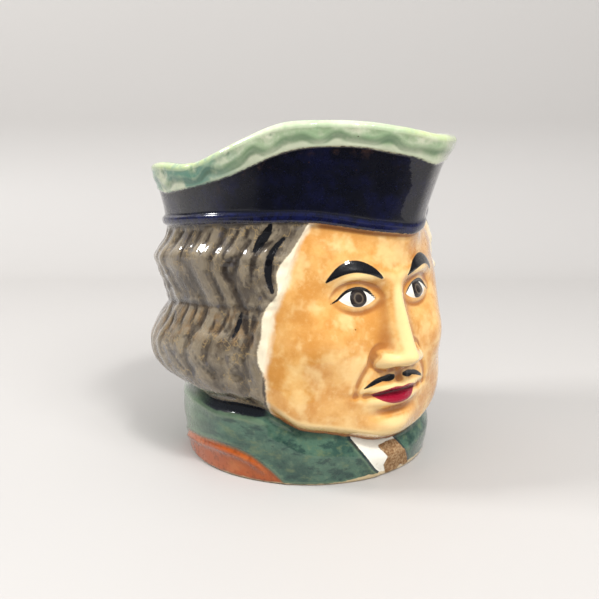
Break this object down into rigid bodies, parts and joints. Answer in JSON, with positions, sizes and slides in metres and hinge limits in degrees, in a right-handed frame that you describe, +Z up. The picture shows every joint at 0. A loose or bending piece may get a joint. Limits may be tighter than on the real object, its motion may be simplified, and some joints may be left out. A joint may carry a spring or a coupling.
{
  "type": "toby jug",
  "caption": "Small glazed ceramic character jug: a head with rolled hair and collar under a three-cornered hat, hollow, open at the brim, with a loop handle at the back.",
  "frame": {"origin": "middle of the flat underside", "axes": "+Z up, -Y towards the hat's front corner, +Y towards the handle, +X towards the figure's left"},
  "size_m": [0.093, 0.1134, 0.1],
  "materials": {
    "painted_glaze": "glossy hand-painted lead glaze, fine craze and specks"
  },
  "bodies": {
    "root": {"toby_jug": "painted_glaze"}
  },
  "joints": []
}
